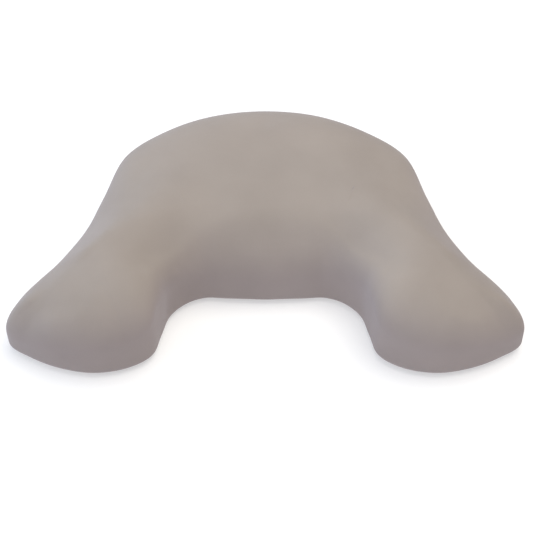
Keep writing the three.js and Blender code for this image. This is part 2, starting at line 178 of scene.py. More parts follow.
def catmull_rom(points, t, closed):
    """Points of a centripetal Catmull-Rom curve at places t, counted in spans."""
    count = len(points)
    if closed:
        t = np.mod(t, count)
        span = np.floor(t).astype(int)
        ids = (span[:, None] + np.arange(-1, 3)) % count
    else:
        points = np.vstack([2 * points[0] - points[1], points, 2 * points[-1] - points[-2]])
        span = np.clip(np.floor(t).astype(int), 0, count - 2)
        ids = span[:, None] + np.arange(4)
    w = (t - span)[:, None]
    p0, p1, p2, p3 = (points[ids[:, k]] for k in range(4))
    pairs = ((p0, p1), (p1, p2), (p2, p3))
    d0, d1, d2 = (np.sqrt(np.linalg.norm(b - a, axis=1))[:, None] for a, b in pairs)
    d1 = np.where(d1 < 1e-4, 1, d1)
    d0 = np.where(d0 < 1e-4, d1, d0)
    d2 = np.where(d2 < 1e-4, d1, d2)
    m1 = ((p1 - p0) / d0 - (p2 - p0) / (d0 + d1) + (p2 - p1) / d1) * d1
    m2 = ((p2 - p1) / d1 - (p3 - p1) / (d1 + d2) + (p3 - p2) / d2) * d1
    return p1 + m1 * w + (-3 * p1 + 3 * p2 - 2 * m1 - m2) * w**2 + (2 * p1 - 2 * p2 + m1 + m2) * w**3


def edge_at(places, is_back):
    """Plan points of the edge and its wall, roll and top heights, in metres."""
    t = len(OUTLINE) - places if is_back else places
    xy = catmull_rom(OUTLINE[:, :2], t, closed=True) * MM
    wall, roll, top = (catmull_rom(OUTLINE[:, 2:], t, closed=True) * MM).T
    return xy, wall, roll, top


def crest_at(places):
    return catmull_rom(CREST, places, closed=False) * MM


def top_height(distance, reach, wall, roll, top, crest_z):
    """Height of the top at a distance in from the edge."""
    short = np.clip(1 - distance / np.minimum(roll, reach), 0, 1)
    rise = (1 - short**ROLL_EXPONENT) ** (1 / ROLL_EXPONENT)
    u = np.clip(distance / reach, 0, 1)
    bed = top + (crest_z - top) * u * u * (3 - 2 * u)
    return wall + (bed - wall) * rise


def wall_fractions():
    """Heights up the wall as fractions, closer together at the slot's lips on the dome's wall."""
    span = DOME_WALL - COVER_LIFT - BOTTOM_ROLL
    lips = [ZIP_Z - SLOT_HALF_HEIGHT, ZIP_Z + SLOT_HALF_HEIGHT]
    fine = [lip - offset * side for lip, side in zip(lips, (-1, 1)) for offset in LIP_ROWS]
    heights = np.concatenate([fine, np.linspace(COVER_LIFT + BOTTOM_ROLL, DOME_WALL, WALL_ROWS)])
    fractions = np.unique(np.round((heights - COVER_LIFT - BOTTOM_ROLL) / span, 3))
    return fractions[(fractions >= 0) & (fractions < 1)][::-1]


def half_section(places, is_back):
    """Rows of points from beside the crest, over the roll, down the wall and under, at many places."""
    xy, wall, roll, top = edge_at(places, is_back)
    crest = crest_at(places)
    inward = crest[:, :2] - xy
    reach = np.linalg.norm(inward, axis=1)
    inward /= reach[:, None]
    share = 1 - np.cos(np.linspace(1, 0, TOP_ROWS + 1)[1:] * math.pi / 2)
    distances = [reach * s for s in share]
    heights = [top_height(d, reach, wall, roll, top, crest[:, 2]) for d in distances]
    foot = COVER_LIFT + BOTTOM_ROLL
    for fraction in wall_fractions():
        distances.append(np.zeros_like(reach))
        heights.append(foot + (wall - foot) * fraction)
    for angle in np.linspace(math.pi / 2, 0, ROLL_ROWS + 1)[1:]:
        distances.append(np.full_like(reach, BOTTOM_ROLL * (1 - math.sin(angle))))
        heights.append(np.full_like(reach, COVER_LIFT + BOTTOM_ROLL * (1 - math.cos(angle))))
    for inset, z in ((COVER_EDGE_INSET - TURNED_EDGE, COVER_LIFT),
                     (COVER_EDGE_INSET, COVER_LIFT + TURNED_EDGE), (COVER_EDGE_INSET, COVER_INSIDE_Z)):
        distances.append(np.full_like(reach, inset))
        heights.append(np.full_like(reach, z))
    distances = np.array(distances).T
    points = xy[:, None, :] + inward[:, None, :] * distances[:, :, None]
    return np.dstack([points, np.array(heights).T])


def columns():
    """Places from wing tip to wing tip, closer together at the slot's ends."""
    even = np.linspace(0, SPANS, SPANS * COLUMNS_PER_SPAN + 1)
    near = TAPE_ANGLE + SLOT_END_COLUMNS / DOME_RADIUS
    ends = [SPANS / 2 - side * np.degrees(near) / DEGREES_PER_SPAN for side in (-1, 1)]
    return np.unique(np.round(np.concatenate([even, *ends]), 4))


# ---------- mesh helpers ----------

def mesh_object(name, vertices, faces, uvs=None, smooth=True):
    """A linked mesh object. uvs holds one pair for each face corner."""
    mesh = bpy.data.meshes.new(name)
    mesh.from_pydata([tuple(v) for v in np.asarray(vertices, float)], [], [tuple(f) for f in faces])
    if uvs is not None:
        layer = mesh.uv_layers.new(name="cloth")
        layer.data.foreach_set("uv", np.asarray(uvs, np.float32).ravel())
    mesh.validate()
    mesh.shade_smooth() if smooth else mesh.shade_flat()
    obj = bpy.data.objects.new(name, mesh)
    bpy.context.scene.collection.objects.link(obj)
    return obj


WELD_DISTANCE, SLIVER = 1e-6, 1e-7


def finish_mesh(obj):
    """Welds coincident points and points the faces outwards."""
    bm = bmesh.new()
    bm.from_mesh(obj.data)
    bmesh.ops.remove_doubles(bm, verts=bm.verts, dist=WELD_DISTANCE)
    bmesh.ops.dissolve_degenerate(bm, dist=SLIVER, edges=bm.edges)
    bmesh.ops.recalc_face_normals(bm, faces=bm.faces)
    bm.to_mesh(obj.data)
    bm.free()
    return obj


def positions(obj):
    return np.array([v.co for v in obj.data.vertices], float).reshape(-1, 3)


def set_positions(obj, points):
    obj.data.vertices.foreach_set("co", np.asarray(points, np.float32).ravel())
    obj.data.update()


def normals(obj):
    return np.array([n.vector for n in obj.data.vertex_normals], float).reshape(-1, 3)


def grid(rings, uv, wrap):
    """Vertices, quads and corner uvs of rings of points. wrap joins each ring's last point to its first."""
    count, size = rings.shape[:2]
    i, k = np.meshgrid(np.arange(count - 1), np.arange(size if wrap else size - 1), indexing="ij")
    i, k = i.ravel(), k.ravel()
    nxt = (k + 1) % size
    corners = np.stack([i * size + k, (i + 1) * size + k, (i + 1) * size + nxt, i * size + nxt], axis=1)
    return rings.reshape(-1, 3), corners, uv.reshape(-1, 2)[corners]


def row_lengths(rings):
    """Cloth coordinate: the length along each row of points, from the middle column."""
    along = np.cumsum(np.linalg.norm(np.diff(rings, axis=0, prepend=rings[:1]), axis=2), axis=0)
    along -= along[len(rings) // 2]
    return along


def lengths_along(line):
    """Length along a line of points at each of them, from 0."""
    return np.concatenate([[0], np.cumsum(np.linalg.norm(np.diff(line, axis=0), axis=1))])


def join_faces(parts):
    """Vertices and faces of several separate shapes as one."""
    vertices, faces, start = [], [], 0
    for points, quads in parts:
        vertices.append(points)
        faces.extend([tuple(int(c) + start for c in face) for face in quads])
        start += len(points)
    return np.vstack(vertices), faces


TUBE_SIDES = 6


def tube(path, radii, closed=False):
    """Vertices and faces of a round tube along a path, with its ends closed if it is open."""
    path = np.asarray(path, float)
    count = len(path)
    tangent = (np.roll(path, -1, 0) - np.roll(path, 1, 0)) if closed else np.gradient(path, axis=0)
    tangent /= np.linalg.norm(tangent, axis=1)[:, None]
    side = np.cross(tangent, [0.0, 0.0, 1.0])
    weak = np.linalg.norm(side, axis=1) < 0.05
    side[weak] = np.cross(tangent[weak], [0.0, 1.0, 0.0])
    side /= np.linalg.norm(side, axis=1)[:, None]
    up = np.cross(side, tangent)
    sides = TUBE_SIDES
    turn = np.linspace(0, 2 * math.pi, sides, endpoint=False)[None, :, None]
    radii = np.broadcast_to(radii, count)[:, None, None]
    ring = np.cos(turn) * side[:, None, :] + np.sin(turn) * up[:, None, :]
    vertices = (path[:, None, :] + radii * ring).reshape(-1, 3)
    faces = []
    for i in range(count if closed else count - 1):
        j = (i + 1) % count
        for k in range(sides):
            n = (k + 1) % sides
            faces.append((i * sides + k, j * sides + k, j * sides + n, i * sides + n))
    if not closed:
        faces.append(tuple(range(sides)))
        faces.append(tuple(reversed(range((count - 1) * sides, count * sides))))
    return vertices, faces


def on_dome(depth, angle, z):
    """A point at a depth under the cover's surface, at an angle round the dome."""
    radius = DOME_RADIUS - depth
    return (DOME_CENTRE.x + radius * math.sin(angle), DOME_CENTRE.y + radius * math.cos(angle), z)


def capped(name, rings, uv):
    """An object made of closed rings, with its first and last ring filled."""
    vertices, faces, uvs = grid(rings, uv, wrap=True)
    count, size = rings.shape[:2]
    caps = [tuple(range(size)), tuple(range((count - 1) * size, count * size))]
    cap_uvs = [uv.reshape(-1, 2)[list(cap)] for cap in caps]
    obj = mesh_object(name, vertices, [*faces, *caps], np.vstack([uvs.reshape(-1, 2), *cap_uvs]))
    return finish_mesh(obj)


def arc_sweep(name, profile, start, end, steps):
    """A closed profile of (depth, height) swept along the dome, with flat ends."""
    angles = np.linspace(start, end, steps + 1)
    rings = np.array([[on_dome(d, a, z) for d, z in profile] for a in angles])
    around = lengths_along(np.array(profile))
    uv = np.dstack(np.meshgrid(angles * DOME_RADIUS, around, indexing="ij"))
    return capped(name, rings, uv)


# ---------- cover, liner, core and base ----------

def slot_distance(points, half_height, extra_angle=0.0):
    """Signed distance on the back wall to the slot's rounded rectangle, positive outside it."""
    angle = np.arctan2(points[:, 0] - DOME_CENTRE.x, points[:, 1] - DOME_CENTRE.y)
    along = np.abs(angle) * DOME_RADIUS - (TAPE_ANGLE + extra_angle) * DOME_RADIUS + SLOT_CORNER
    up = np.abs(points[:, 2] - ZIP_Z) - half_height + SLOT_CORNER
    outside = np.hypot(np.maximum(along, 0), np.maximum(up, 0)) + np.minimum(np.maximum(along, up), 0)
    distance = outside - SLOT_CORNER
    radius = np.hypot(points[:, 0] - DOME_CENTRE.x, points[:, 1] - DOME_CENTRE.y)
    on_wall = np.abs(angle) < BACK_WALL_ANGLE
    on_wall &= (radius > DOME_RADIUS - BACK_WALL_DEPTH) & (points[:, 2] < BACK_WALL_TOP)
    return np.where(on_wall, distance, 1.0)


def push_in(points, depth):
    """Moves points towards the dome's axis."""
    radial = points[:, :2] - np.array(DOME_CENTRE.xy)
    radial /= np.maximum(np.linalg.norm(radial, axis=1), 1e-9)[:, None]
    moved = points.copy()
    moved[:, :2] -= radial * depth[:, None]
    return moved


def smoothstep(low, high, value):
    t = np.clip((value - low) / (high - low), 0, 1)
    return t * t * (3 - 2 * t)


def body_surface(name, depth=0.0):
    """The pillow's closed outer surface, or the same surface moved in by a depth."""
    places = columns()
    crest = crest_at(places)[:, None, :]
    foot = crest.copy()
    foot[:, :, 2] = COVER_INSIDE_Z
    back = half_section(places, is_back=True)
    front = half_section(places, is_back=False)
    rings = np.concatenate([crest, back, foot, front[:, ::-1]], axis=1)
    down_back, down_front = (
        np.cumsum(np.linalg.norm(np.diff(np.concatenate(rows, 1), axis=1), axis=2), axis=1)
        for rows in ([crest, back, foot], [crest, front]))
    down = np.concatenate([np.zeros((len(places), 1)), down_back, -down_front[:, ::-1]], axis=1)
    uv = np.dstack([row_lengths(rings), down])
    obj = finish_mesh(mesh_object(name, *grid(rings, uv, wrap=True)))
    soften_wings(obj)
    if depth:
        set_positions(obj, positions(obj) - normals(obj) * depth)
    return obj


def soften_wings(obj):
    """Evens out the crest's two ends, where the sections fan round it, by a local average of heights."""
    points = positions(obj)
    area = np.zeros(len(points))
    for polygon in obj.data.polygons:
        area[list(polygon.vertices)] += polygon.area
    top = points[:, 2] > SOFTEN_Z
    for x, y in (CREST[0, :2] * MM, CREST[-1, :2] * MM):
        away = np.hypot(points[:, 0] - x, points[:, 1] - y)
        near = np.where(top & (away < SOFTEN_NONE))[0]
        around = np.where(top & (away < SOFTEN_NONE + 2 * SOFTEN_GRAIN))[0]
        gap = np.linalg.norm(points[near, None, :2] - points[None, around, :2], axis=2)
        weight = np.exp(-0.5 * (gap / SOFTEN_GRAIN) ** 2) * area[around]
        average = (weight @ points[around, 2]) / weight.sum(axis=1)
        share = 1 - smoothstep(SOFTEN_FULL, SOFTEN_NONE, away[near])
        points[near, 2] += (average - points[near, 2]) * share
    set_positions(obj, points)


def softness(points, amount, size):
    """Gentle unevenness, the same on every run."""
    return amount * np.array([noise.noise(Vector(p) / size) for p in points])


def taut_movement(points):
    """How far the knit moves outwards at each point, when a coarse skin is pressed from inside as cloth.

    The skin is held along the base seam and round the zip, where it is sewn. It bridges hollows, up to a
    cap, and pulls in at rounded edges only as far as the foam gives.
    """
    skin = body_surface("knit_trial")
    remesh = skin.modifiers.new("voxels", "REMESH")
    remesh.mode = "VOXEL"
    remesh.voxel_size = TRIAL_VOXEL
    remeshed = skin.evaluated_get(bpy.context.evaluated_depsgraph_get())
    skin.data = bpy.data.meshes.new_from_object(remeshed)
    skin.modifiers.clear()
    start, outward = positions(skin), normals(skin)
    sewn = 1 - smoothstep(TRIAL_SEWN_Z, TRIAL_FREE_Z, start[:, 2])
    from_slot = slot_distance(start, SLOT_HALF_HEIGHT)
    sewn = np.maximum(sewn, 1 - smoothstep(TRIAL_SEWN_SLOT, TRIAL_FREE_SLOT, from_slot))
    held = skin.vertex_groups.new(name="sewn")
    for index, weight in enumerate(sewn):
        held.add([index], float(weight), "REPLACE")
    cloth = skin.modifiers.new("knit", "CLOTH")
    cloth.point_cache.frame_start, cloth.point_cache.frame_end = 1, TRIAL_FRAMES
    settings = cloth.settings
    settings.vertex_group_mass = "sewn"
    settings.use_pressure = True
    settings.uniform_pressure_force = TRIAL_PRESSURE
    settings.effector_weights.gravity = 0
    settings.tension_stiffness = settings.compression_stiffness = TRIAL_TENSION
    settings.bending_stiffness = TRIAL_BENDING
    cloth.collision_settings.use_collision = False
    scene = bpy.context.scene
    for number in range(1, TRIAL_FRAMES + 1):
        scene.frame_set(number)
    pressed = skin.evaluated_get(bpy.context.evaluated_depsgraph_get())
    end = np.array([v.co for v in pressed.to_mesh().vertices], float).reshape(-1, 3)
    pressed.to_mesh_clear()
    swell = np.einsum("ij,ij->i", end - start, outward)
    swell = np.clip(swell, TRIAL_LOW, TRIAL_CAP) * (1 - sewn)
    bpy.data.objects.remove(skin)
    scene.frame_set(1)
    tree = KDTree(len(start))
    for index, point in enumerate(start):
        tree.insert(point, index)
    tree.balance()
    out = np.zeros(len(points))
    for k, point in enumerate(points):
        near = tree.find_n(point, TRIAL_NEIGHBOURS)
        weights = np.exp(-0.5 * (np.array([n[2] for n in near]) / TRIAL_VOXEL) ** 2)
        out[k] = weights @ swell[[n[1] for n in near]] / weights.sum()
    return out


LIP_INSIDE, LIP_CURVE = 0.25 * MM, 1.6
GROOVE_DEPTH, GROOVE_WIDTH = 0.35 * MM, 0.55 * MM
WELT_HEIGHT, WELT_OFFSET, WELT_WIDTH = 0.3 * MM, 1.2 * MM, 0.7 * MM
PUCKER_DEPTH, PUCKER_WIDTH = 0.10 * MM, 2.5 * MM
UNEVEN_HEIGHT, UNEVEN_SIZE = 0.22 * MM, 34 * MM
UNEVEN_FROM_Z, UNEVEN_FULL_Z = 4 * MM, 20 * MM


def make_cover():
    """Knit cover: a closed skin with a recess for the zip, a stitched border round it and faint puckers."""
    cover = body_surface("knit_cover")
    points = positions(cover)
    points += normals(cover) * taut_movement(points)[:, None]
    set_positions(cover, points)
    distance = slot_distance(points, SLOT_HALF_HEIGHT)
    angle = np.arctan2(points[:, 0] - DOME_CENTRE.x, points[:, 1] - DOME_CENTRE.y)
    lip = 1 - smoothstep(-LIP_INSIDE, SLOT_LIP, distance)
    recess = SLOT_DEPTH * lip**LIP_CURVE
    groove = GROOVE_DEPTH * np.exp(-((distance - TOPSTITCH_OFFSET) / GROOVE_WIDTH) ** 2)
    welt = -WELT_HEIGHT * np.exp(-((distance - WELT_OFFSET) / WELT_WIDTH) ** 2)
    ripple = PUCKER_DEPTH * np.sin(angle * DOME_RADIUS * 2 * math.pi / STITCH_PITCH)
    ripple = ripple * np.exp(-np.abs(distance - TOPSTITCH_OFFSET) / PUCKER_WIDTH) * (distance > 0)
    points = push_in(points, recess + groove + welt + ripple)
    lifted = smoothstep(UNEVEN_FROM_Z, UNEVEN_FULL_Z, points[:, 2])
    points += normals(cover) * (softness(points, UNEVEN_HEIGHT, UNEVEN_SIZE) * lifted)[:, None]
    set_positions(cover, points)
    return cover


def make_inner(name, depth):
    """A layer under the cover, with the pocket that clears the zip."""
    layer = body_surface(name, depth)
    points = positions(layer)
    distance = slot_distance(points, POCKET_HALF_HEIGHT, POCKET_EXTRA_ANGLE)
    pocket = (POCKET_DEPTH - depth) * (1 - smoothstep(-POCKET_SLOPE, POCKET_LIP, distance))
    set_positions(layer, push_in(points, pocket))
    return layer


def cut_level(obj, z, keep_above):
    """Cuts a closed mesh at a level and closes the cut."""
    bm = bmesh.new()
    bm.from_mesh(obj.data)
    cut = bmesh.ops.bisect_plane(
        bm, geom=[*bm.verts, *bm.edges, *bm.faces], plane_co=(0, 0, z), plane_no=(0, 0, 1),
        clear_inner=keep_above, clear_outer=not keep_above)
    edges = [e for e in cut["geom_cut"] if isinstance(e, bmesh.types.BMEdge)]
    bmesh.ops.edgeloop_fill(bm, edges=edges)
    bmesh.ops.recalc_face_normals(bm, faces=bm.faces)
    bm.to_mesh(obj.data)
    bm.free()
    return obj


def underside_loop(inset):
    """Plan points round the underside, inside the edge."""
    places = columns()
    sides = []
    for is_back in (False, True):
        xy = edge_at(places, is_back)[0]
        inward = crest_at(places)[:, :2] - xy
        inward /= np.linalg.norm(inward, axis=1)[:, None]
        sides.append(xy + inward * inset)
    return np.vstack([sides[0], sides[1][-2:0:-1]])


def even_loop(points, spacing):
    """A closed loop of plan points, resampled evenly."""
    closed = np.vstack([points, points[:1]])
    length = lengths_along(closed)
    count = int(round(length[-1] / spacing))
    at = np.linspace(0, length[-1], count, endpoint=False)
    return np.column_stack([np.interp(at, length, closed[:, k]) for k in range(2)])


# The base cloth's rows as shares of the way out (first, last, count), and its rounded edge as
# (shift outwards, share of thickness).
BASE_ROWS = (0.1, 0.9, 9)
BASE_EDGE = [(-0.8 * MM, 1), (-0.2 * MM, 0.82), (0, 0.5), (-0.2 * MM, 0.18), (-0.8 * MM, 0)]


def make_base():
    """Base cloth: a flat sheet with a rounded edge."""
    places = columns()
    crest = crest_at(places)
    halves = []
    for is_back in (True, False):
        xy = edge_at(places, is_back)[0]
        inward = crest[:, :2] - xy
        reach = np.linalg.norm(inward, axis=1)
        outward = -inward / reach[:, None]
        width = reach - PANEL_EDGE_INSET
        profile = [(t, 0, BASE_THICKNESS) for t in np.linspace(*BASE_ROWS)]
        profile += [(1, shift, BASE_THICKNESS * share) for shift, share in BASE_EDGE]
        profile += [(t, 0, 0) for t in np.linspace(*BASE_ROWS)[::-1]]
        rows = []
        for t, shift, z in profile:
            plan = crest[:, :2] + outward * (width * t + shift)[:, None]
            rows.append(np.column_stack([plan, np.full(len(places), z)]))
        halves.append(np.stack(rows, axis=1))
    top, bottom = crest.copy(), crest.copy()
    top[:, 2], bottom[:, 2] = BASE_THICKNESS, 0
    rings = np.concatenate([top[:, None], halves[0], bottom[:, None], halves[1][:, ::-1]], axis=1)
    return finish_mesh(mesh_object("base_cloth", *grid(rings, rings[:, :, :2], wrap=True)))


SEAM_STEP, STEPS_PER_ZIGZAG = 0.75 * MM, 4
SEAM_SWING, SEAM_Z, SEAM_RISE = 1.15 * MM, 0.75 * MM, 0.35 * MM
SEAM_THREAD_RADIUS = 0.26 * MM


def make_seam():
    """Overlock stitches that zigzag across the joint between the cover and the base cloth."""
    loop = even_loop(underside_loop(SEAM_INSET), SEAM_STEP)
    loop = loop[: len(loop) // STEPS_PER_ZIGZAG * STEPS_PER_ZIGZAG]
    along = np.roll(loop, -1, 0) - np.roll(loop, 1, 0)
    along /= np.linalg.norm(along, axis=1)[:, None]
    across = np.column_stack([-along[:, 1], along[:, 0]])
    turn = np.arange(len(loop)) * 2 * math.pi / STEPS_PER_ZIGZAG
    z = SEAM_Z + SEAM_RISE * np.cos(turn)
    path = np.column_stack([loop + across * (SEAM_SWING * np.sin(turn))[:, None], z])
    return mesh_object("overlock_stitches", *tube(path, SEAM_THREAD_RADIUS, closed=True))


# ---------- zip ----------

TAPE_DEPTH, TAPE_THICKNESS, TAPE_NEAR = 2.3 * MM, 0.6 * MM, 0.6 * MM
TAPE_ROUND, TAPE_ROWS, TAPE_STEPS = 0.3 * MM, 10, 120
CORD_RISE, CORD_FAR, CORD_GAP, CORD_POINTS = 0.35 * MM, 2.0 * MM, 0.6 * MM, 9


def make_tape(side, sign):
    """Woven zip tape with a corded edge beside the teeth."""
    depth, thin, near, cord, far = TAPE_DEPTH, TAPE_THICKNESS, TAPE_NEAR, CORD_FAR, TAPE_REACH
    outer = [(depth - CORD_RISE * math.sin(math.pi * t) if t < 1 else depth, near + (cord - near) * t)
             for t in np.linspace(0, 1, CORD_POINTS)]
    outer += [(depth, h) for h in np.linspace(cord + CORD_GAP, far - TAPE_ROUND, TAPE_ROWS)]
    outer += [(depth + thin / 2, far)]
    inner = [(depth + thin, far - TAPE_ROUND), (depth + thin, near)]
    profile = [(d, ZIP_Z + sign * h) for d, h in outer + inner]
    return arc_sweep(f"zip_tape_{side}_woven", profile, -TAPE_ANGLE, TAPE_ANGLE, TAPE_STEPS)


COIL_PITCH = 1.3 * MM
COIL_WIRE = 0.3 * MM
COIL_DEPTH, COIL_BULGE = 1.2 * MM, 0.42 * MM
COIL_OVERLAP = 0.45 * MM
COIL_SQUARENESS = 0.7
HEAD_LEAD, HEEL_LEAD = 0.3, 1.7
POINTS_PER_TURN = 18


def make_coil(side, sign):
    """Nylon coil teeth. The two coils' heads interlock, half a pitch apart."""
    span = 2 * CHAIN_ANGLE * DOME_RADIUS - 2 * COIL_WIRE
    turns = int(span / COIL_PITCH) - 1
    turn = np.arange(turns * POINTS_PER_TURN + 1) / POINTS_PER_TURN
    phase = turn % 1
    lead = np.where(phase < 0.5, phase * HEAD_LEAD, HEAD_LEAD / 2 + (phase - 0.5) * HEEL_LEAD)
    shift = 0.0 if sign > 0 else COIL_PITCH / 2
    arc = (np.floor(turn) + lead - turns / 2 - 0.25) * COIL_PITCH + shift
    head, heel = -COIL_OVERLAP, TEETH_REACH - COIL_WIRE
    swing = np.cos(turn * 2 * math.pi)
    reach = (head + heel) / 2 + (heel - head) / 2 * np.sign(swing) * np.abs(swing) ** COIL_SQUARENESS
    depth = COIL_DEPTH - COIL_BULGE * np.sin(turn * 2 * math.pi)
    path = [on_dome(d, a / DOME_RADIUS, ZIP_Z + sign * h) for d, a, h in zip(depth, arc, reach)]
    return mesh_object(f"zip_coil_{side}", *tube(path, COIL_WIRE))


THREAD_RADIUS, STITCH_BOW, STITCH_BOW_CURVE, STITCH_SINK = 0.2 * MM, 0.3 * MM, 0.6, 0.12 * MM
STITCH_TAPER = np.array([0.55, 0.85, 1, 1, 1, 1, 0.85, 0.55])
STITCH_GAP_SHARE = 0.1
SLOT_CORNER_POINTS = 9


def stitch(start, end, outward):
    """One stitch of thread between two points, bowed outwards, its ends diving into the cloth."""
    t = np.linspace(0, 1, len(STITCH_TAPER))
    start, end, outward = (np.array(v, float) for v in (start, end, outward))
    rise = STITCH_BOW * np.sin(math.pi * t) ** STITCH_BOW_CURVE - STITCH_SINK
    path = start + (end - start) * t[:, None] + outward * rise[:, None]
    return tube(path, THREAD_RADIUS * STITCH_TAPER)


def slot_border(offset):
    """Points round the slot at an offset, as (arc length, height), evenly spaced."""
    half_long = TAPE_ANGLE * DOME_RADIUS + offset
    half_high = SLOT_HALF_HEIGHT + offset
    corner = SLOT_CORNER + offset
    points = []
    for quarter in range(4):
        sx, sz = ((1, 1), (-1, 1), (-1, -1), (1, -1))[quarter]
        centre = np.array([sx * (half_long - corner), sz * (half_high - corner)])
        for angle in np.linspace(0, math.pi / 2, SLOT_CORNER_POINTS) + quarter * math.pi / 2:
            points.append(centre + corner * np.array([math.cos(angle), math.sin(angle)]))
    return np.array(points)


def make_topstitch(cover):
    """A row of stitches round the slot, lying on the cover's own surface."""
    surface = BVHTree.FromObject(cover, bpy.context.evaluated_depsgraph_get())
    border = even_loop(slot_border(TOPSTITCH_OFFSET), STITCH_PITCH)
    shapes = []
    for a, b in zip(border, np.roll(border, -1, 0)):
        gap = (b - a) * STITCH_GAP_SHARE
        ends = []
        for along, up in (a + gap, b - gap):
            hit = surface.find_nearest(on_dome(0, along / DOME_RADIUS, ZIP_Z + up))
            ends.append(hit[0])
            outward = hit[1]
        shapes.append(stitch(*ends, outward))
    return mesh_object("zip_topstitching", *join_faces(shapes))


CAD_WELD, FLAT_ANGLE, SHARP_ANGLE, BEVEL_SEGMENTS = 1e-5, math.radians(2), math.radians(35), 3


def refined(node, name, bevel):
    """A copy of a CAD node with its flat faces whole again and its edges rounded over."""
    source = frame["nodes"][node]
    obj = bpy.data.objects.new(name, source.data.copy())
    bpy.context.scene.collection.objects.link(obj)
    obj.data.materials.clear()
    bm = bmesh.new()
    bm.from_mesh(obj.data)
    bmesh.ops.remove_doubles(bm, verts=bm.verts, dist=CAD_WELD)
    bmesh.ops.dissolve_limit(bm, angle_limit=FLAT_ANGLE, verts=bm.verts, edges=bm.edges)
    sharp = [e for e in bm.edges if len(e.link_faces) == 2 and e.calc_face_angle(0) > SHARP_ANGLE]
    bmesh.ops.bevel(bm, geom=sharp, offset=bevel, offset_type="OFFSET", segments=BEVEL_SEGMENTS,
                    profile=0.5, affect="EDGES", clamp_overlap=True)
    bmesh.ops.recalc_face_normals(bm, faces=bm.faces)
    bm.to_mesh(obj.data)
    bm.free()
    obj.data.shade_smooth()
    weighted = obj.modifiers.new("weighted", "WEIGHTED_NORMAL")
    weighted.keep_sharp = True
    return obj


# ---------- care label ----------

LABEL_OUT, LABEL_TUCK = 8.6 * MM, 0.5 * MM
LABEL_HALF_WIDTH, LABEL_THICKNESS = 9.5 * MM, 0.22 * MM
LABEL_Z, LABEL_CURL, LABEL_PART, LABEL_ARCH = 0.16 * MM, 1.2 * MM, 0.76 * MM, 0.12 * MM
LABEL_ROWS, LABEL_COLUMNS, LABEL_FOLD_POINTS = 25, 9, 7


def make_label():
    """Blank satin label, folded into a loop, its ends in the seam."""
    low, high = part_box("care_label")
    angle = dome_angle((low.x + high.x) / 2, (low.y + high.y) / 2)
    outward = np.array([math.sin(angle), math.cos(angle), 0])
    across = np.array([math.cos(angle), -math.sin(angle), 0])
    middle = np.array([DOME_CENTRE.x, DOME_CENTRE.y, 0])
    near, far = DOME_RADIUS - SEAM_INSET + LABEL_TUCK, DOME_RADIUS + LABEL_OUT
    fold_radius = LABEL_PART / 2
    fold_z = LABEL_Z + LABEL_CURL + fold_radius
    t = np.linspace(0, 1, LABEL_ROWS)
    lower = [(near + (far - near) * s, LABEL_Z + LABEL_CURL * s**3) for s in t]
    fold = [(far + fold_radius * math.cos(a), fold_z + fold_radius * math.sin(a))
            for a in np.linspace(-math.pi / 2, math.pi / 2, LABEL_FOLD_POINTS)[1:-1]]
    upper = [(near + (far - near) * s, LABEL_Z + LABEL_CURL * s**3 + LABEL_PART * s) for s in t[::-1]]
    line = np.array(lower + fold + upper)
    along = np.gradient(line, axis=0)
    along /= np.linalg.norm(along, axis=1)[:, None]
    off = np.column_stack([-along[:, 1], along[:, 0]]) * LABEL_THICKNESS / 2
    length = lengths_along(line)
    rings, uv = [], []
    for side in np.linspace(-1, 1, LABEL_COLUMNS):
        rise = LABEL_ARCH * (1 - side * side)
        shift = side * LABEL_HALF_WIDTH
        loop = np.vstack([line - off, (line + off)[::-1]])
        rings.append([middle + outward * r + across * shift + np.array([0, 0, z + rise]) for r, z in loop])
        uv.append([(shift, v) for v in [*length, *length[::-1]]])
    return capped("care_label_loop", np.array(rings), np.array(uv))


# ---------- materials ----------

